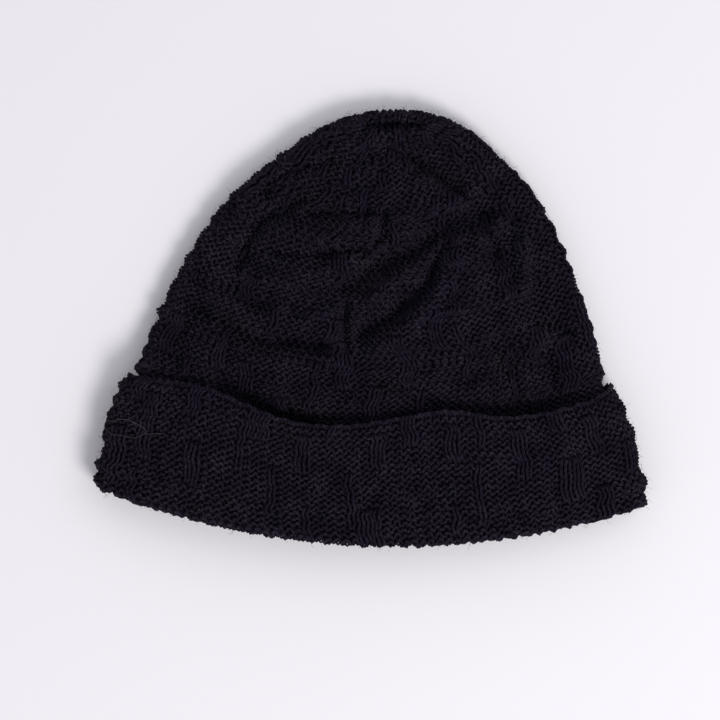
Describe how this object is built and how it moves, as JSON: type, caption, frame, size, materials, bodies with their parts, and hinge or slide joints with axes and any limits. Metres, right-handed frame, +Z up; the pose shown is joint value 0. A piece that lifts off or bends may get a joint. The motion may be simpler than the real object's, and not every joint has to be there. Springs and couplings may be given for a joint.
{
  "type": "knit beanie",
  "caption": "Knitted wool beanie lying flat on its back, with a turned-up cuff, a gathered crown and a knit-and-purl texture.",
  "frame": {"origin": "middle of the hat's outline, on the surface that it lies on", "axes": "+X across the brim, +Y from the brim to the crown, +Z up from the surface it lies on"},
  "size_m": [0.2412, 0.1942, 0.0268],
  "materials": {
    "crown_knit": "matte black knitted wool",
    "cuff_knit": "matte black knitted wool",
    "edge_yarn": "matte black wool yarn"
  },
  "bodies": {
    "body": {"crown_front": "crown_knit", "crown_back": "crown_knit", "crown_side_left": "crown_knit", "crown_side_right": "crown_knit", "crown_gather": "crown_knit", "closing_yarn": "edge_yarn", "body_tube_front": "crown_knit", "body_tube_back": "crown_knit", "body_tube_side_left": "crown_knit", "body_tube_side_right": "crown_knit"},
    "cuff": {"cuff_front": "cuff_knit", "cuff_back": "cuff_knit", "cuff_side_left": "cuff_knit", "cuff_side_right": "cuff_knit", "cast_on_edge_front": "edge_yarn", "cast_on_edge_back": "edge_yarn", "brim_fold_front": "cuff_knit", "brim_fold_back": "cuff_knit"}
  },
  "joints": [
    {"name": "cuff_let_down", "type": "slide", "parent": "body", "child": "cuff", "axis": [0, -1, 0], "range_m": [0, 0.04]}
  ]
}
